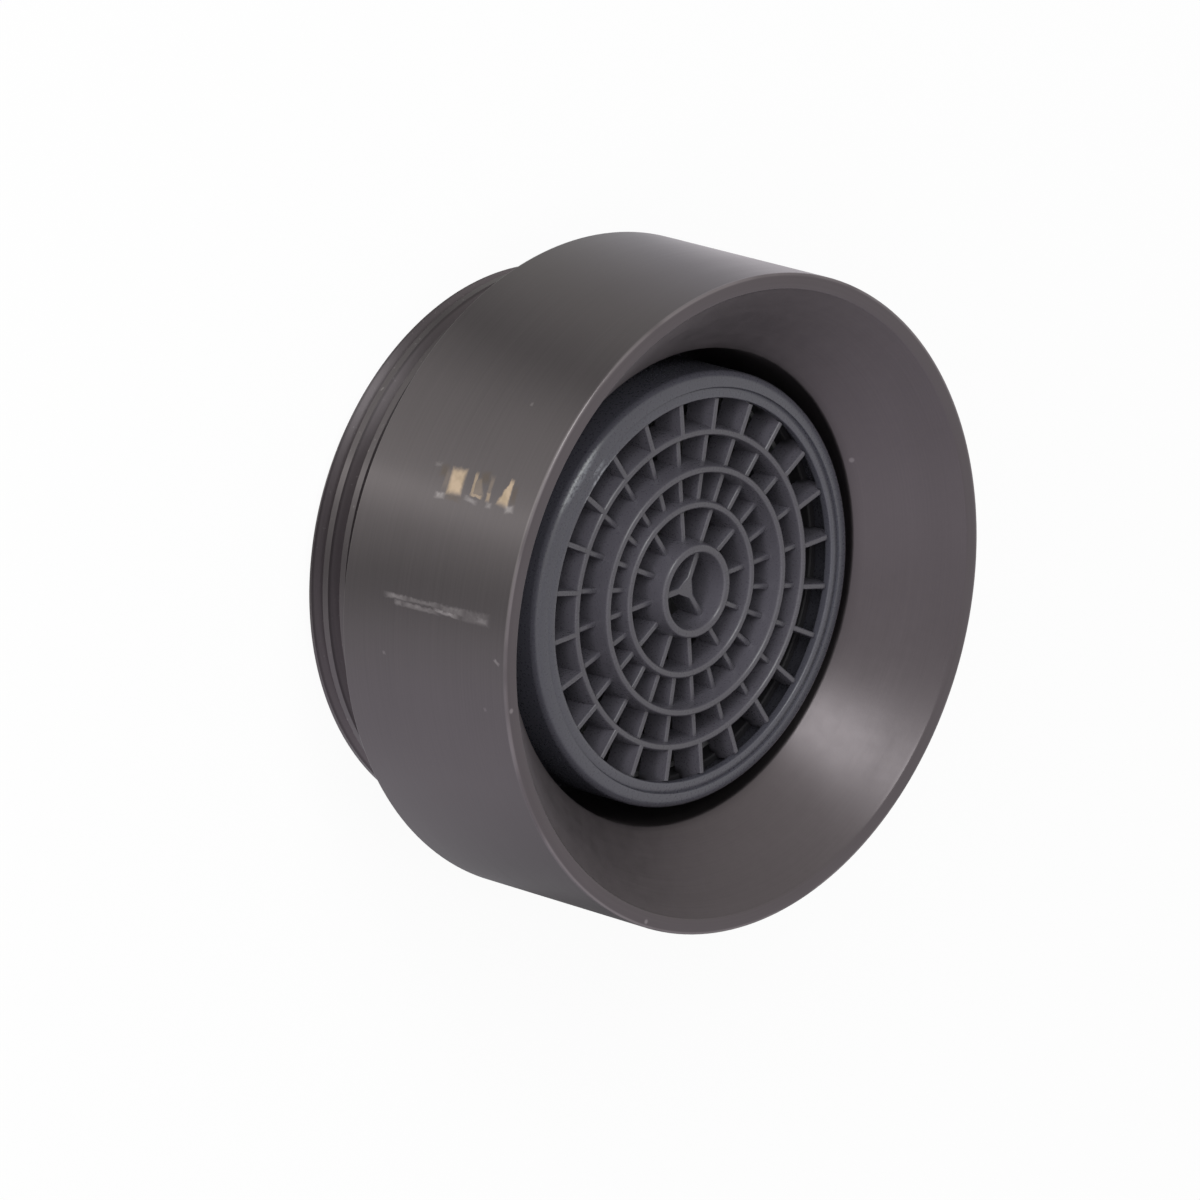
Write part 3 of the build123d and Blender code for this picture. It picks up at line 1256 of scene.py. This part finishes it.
@dataclass
class Studio:
    """The pale floor, the lamps, the world and the camera."""

    rim: float
    lens: float = 362.97
    azimuth: float = 3.0
    elevation: float = 42.72
    roll: float = 105.73
    distance: float = 501.3
    aside: float = -6.04
    above: float = 0.21
    sensor: float = 36.0
    sight: Corner = (0.01, 20.0)
    fill: float = 0.28
    surround: float = 0.97
    floor_size: float = 6.0
    floor_drop: float = 0.00003
    floor_colour: Colour = (0.8, 0.8, 0.8)
    floor_seen: float = 0.94
    floor_mirrored: float = 0.8
    floor_brightest: float = 2.4
    floor_tones: tuple[Corner, ...] = (
        (0.00, 0.30), (0.03, 0.80), (0.06, 1.00), (0.12, 1.05), (0.153, 1.22), (0.185, 1.58),
        (0.21, 1.28), (0.235, 0.98), (0.29, 0.82), (0.335, 0.72), (0.378, 0.46), (0.425, 1.10),
        (0.47, 1.40), (0.484, 1.50), (0.492, 2.30), (0.502, 1.90), (0.517, 1.15), (0.55, 0.62),
        (0.564, 0.67), (0.59, 1.04), (0.62, 1.14), (0.68, 1.09), (0.70, 1.04), (0.72, 0.90),
        (0.736, 0.80), (0.767, 0.58), (0.789, 0.46), (0.81, 0.40), (0.83, 0.16), (0.95, 0.10),
        (1.00, 0.30),
    )
    floor_tints: tuple[tuple[float, Colour], ...] = (
        (0.00, (1.0, 0.93, 1.0)), (0.14, (1.0, 0.94, 1.0)), (0.24, (0.97, 0.96, 1.0)),
        (0.32, (0.99, 1.0, 0.93)), (0.55, (0.98, 1.0, 0.93)), (0.63, (0.97, 0.96, 1.0)),
        (0.80, (0.97, 0.94, 1.0)), (1.00, (1.0, 0.93, 1.0)),
    )
    warm_side: Colour = (0.99, 0.98, 0.93)
    cool_side: Colour = (0.98, 0.95, 1.0)
    lamps: tuple[Lamp, ...] = (
        Lamp("key", 230.0, 41.0, 0.45, 0.17, 0.26, 4.7, (0.96, 1.0, 0.97)),
        Lamp("card", 328.0, 33.0, 0.60, 0.40, 0.30, 0.22),
        Lamp("shade", 270.0, 38.0, 0.60, 0.60, 0.60, 3.8, mirrored=False),
    )

    def build(self) -> None:
        """Sets up everything round the part."""
        self._floor()
        self._world()
        for lamp in self.lamps:
            lamp.hang(Vector((0.0, 0.0, self.rim * MM / 2)))
        self._camera()
        bpy.context.scene.view_settings.view_transform = "Standard"

    @staticmethod
    def _rays(shader: Shader) -> tuple[Value, Value]:
        """Makes the masks of the rays that see the background.

        Args:
            shader: the material or world that they belong to.

        Returns:
            The mask of camera rays, and that of mirror and clear rays.
        """
        outputs = ("Is Camera Ray", "Is Glossy Ray", "Is Transmission Ray")
        camera, glossy, clear = (shader.node("ShaderNodeLightPath", output=ray) for ray in outputs)
        return camera, glossy | clear

    def _floor(self) -> None:
        """Lays a wide pale floor that shows white and keeps a faint shadow.

        What the metal mirrors of it is lighter and darker round the part, as cards beside it would make it.
        """
        Work.clear()
        bpy.ops.mesh.primitive_plane_add(size=self.floor_size, location=(0.0, 0.0, -self.floor_drop))
        floor = bpy.context.object
        floor.name = "floor"
        shader = Shader(bpy.data.materials.new("pale_floor"))
        plain = shader.node("ShaderNodeBsdfDiffuse", inputs={"Color": self.floor_colour})
        camera, mirror = self._rays(shader)
        x, y, _ = shader.place()
        turn = shader.math("ARCTAN2", x, 0.0 - y) / math.tau + 0.5
        tones = [(spot, tone / self.floor_brightest) for spot, tone in self.floor_tones]
        tone = shader.node("ShaderNodeValToRGB", {"stops": tones}, {0: turn}) * self.floor_brightest
        level = 1.0 + mirror * (tone - 1.0)
        tint = shader.node("ShaderNodeValToRGB", {"stops": self.floor_tints}, {0: turn})
        tint = shader.mix(mirror, WHITE, tint)
        white = shader.node("ShaderNodeEmission", inputs={"Color": tint, "Strength": level})
        share = camera * self.floor_seen | mirror * self.floor_mirrored
        both = shader.node("ShaderNodeMixShader", inputs={0: share, 1: plain, 2: white})
        floor.data.materials.append(shader.end(both))

    def _world(self) -> None:
        """Gives an even surround: white where it is seen or mirrored, dimmer as light."""
        world = bpy.data.worlds.new("surround")
        bpy.context.scene.world = world
        shader = Shader(world)
        camera, mirror = self._rays(shader)
        level = self.fill + (camera | mirror) * (self.surround - self.fill)
        way = shader.split(shader.node("ShaderNodeTexCoord", output="Generated"))
        tint = shader.mix(way[0] * 0.5 + 0.5, self.warm_side, self.cool_side)
        tint = shader.mix(mirror, WHITE, tint)
        shader.end(shader.node("ShaderNodeBackground", inputs={"Color": tint, "Strength": level}))

    def _camera(self) -> None:
        """Frames the part as the photograph does, with the camera rolled on its side."""
        rise = math.radians(self.elevation)
        roll = math.radians(self.roll)
        back = around(self.azimuth - 90.0, math.cos(rise), math.sin(rise))
        level = around(self.azimuth)
        upright = back.cross(level)
        right = math.cos(roll) * level + math.sin(roll) * upright
        up = -math.sin(roll) * level + math.cos(roll) * upright
        data = bpy.data.cameras.new("camera")
        data.lens = self.lens
        data.sensor_width = self.sensor
        data.clip_start, data.clip_end = self.sight
        camera = bpy.data.objects.new("camera", data)
        bpy.context.scene.collection.objects.link(camera)
        rim_centre = Vector((0.0, 0.0, self.rim))
        place = rim_centre + self.aside * right + self.above * up + self.distance * back
        facing = Matrix((right, up, back)).transposed().to_4x4()
        camera.matrix_world = Matrix.Translation(place * MM) @ facing
        bpy.context.scene.camera = camera


def dress_hidden(nodes: dict[str, bpy.types.Object], plastic: Material) -> None:
    """Gives the inner solids, which stay as they were packed, their plastic.

    Args:
        nodes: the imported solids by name.
        plastic: the material.
    """
    for name in ("jet_plate", "mixing_grid"):
        nodes[name].data.materials.clear()
        nodes[name].data.materials.append(plastic)
        LOG.info("%s: kept as packed", name)


def corners(box: tuple[Vector, Vector]) -> list[list[float]]:
    """Writes a box as plain lists of numbers."""
    return [list(corner) for corner in box]


def main() -> None:
    """Builds the dressed part and its studio."""
    logging.basicConfig(level=logging.INFO, format="%(name)s: %(message)s")
    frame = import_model()
    metal = TurnedMetal().material()
    # The grid's plastic has painted shade low by its outer wall and painted light on its walls
    grid = MouldedPlastic("grid_plastic", (0.0505, 0.0477, 0.0575), painted_corner_shade=0.85, painted_wall_light=0.45).material()
    # The sleeve's plastic has painted shade deep inside and a painted highlight on its front edge
    scuffed_and_highlit = MouldedPlastic("sleeve_plastic", (0.050, 0.0495, 0.062), scuffs_and_highlight=SLEEVE_SCUFFS_AND_HIGHLIGHT, painted_depth_shade=0.50)
    sleeve = scuffed_and_highlit.material()
    inner = MouldedPlastic("inner_plastic", (0.13, 0.13, 0.135), 0.55, 0.5).material()
    rubber = Rubber().material()
    housing = Span.of("housing")
    Housing(housing, metal).build()
    insert = InsertSleeve(Span.of("insert_sleeve"), sleeve)
    insert.build()
    front = insert.span.high
    OutletGrid(Span.of("outlet_grid"), front, insert.lip_under, insert.lip_radius, grid).build()
    inlet = InletEnd(Span.of("seal_washer"), Span.of("strainer"), rubber, inner)
    inlet.build_washer()
    inlet.build_strainer()
    dress_hidden(frame["nodes"], inner)
    Studio(housing.high).build()


if __name__ == "__main__":
    main()
